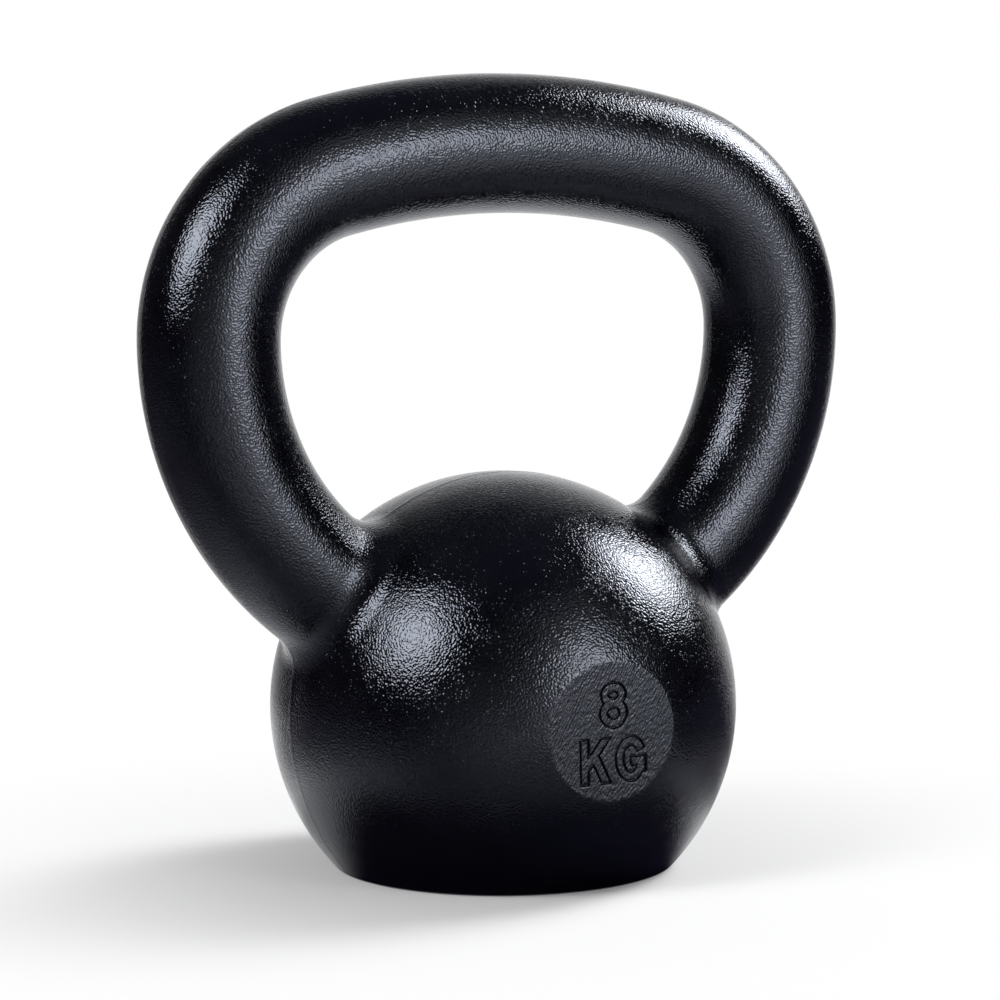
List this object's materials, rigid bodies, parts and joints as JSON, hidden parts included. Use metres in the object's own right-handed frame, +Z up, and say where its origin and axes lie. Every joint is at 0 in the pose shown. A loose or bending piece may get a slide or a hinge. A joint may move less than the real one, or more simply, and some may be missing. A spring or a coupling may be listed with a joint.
{
  "type": "kettlebell",
  "caption": "Solid cast iron kettlebell with a round ball, a flat base, a flat front mark and a bowed round-bar handle wide enough for two hands.",
  "frame": {"origin": "middle of the flat base, on the surface that the kettlebell stands on", "axes": "+Z up through the middle of the ball and the middle of the grip, +X along the grip, -Y out of the flat that carries the weight mark"},
  "size_m": [0.1912, 0.1148, 0.1974],
  "materials": {
    "black_enamel": "gloss"
  },
  "bodies": {
    "root": {"ball": "black_enamel", "handle": "black_enamel", "left_foot_fillet": "black_enamel", "right_foot_fillet": "black_enamel"}
  },
  "joints": []
}
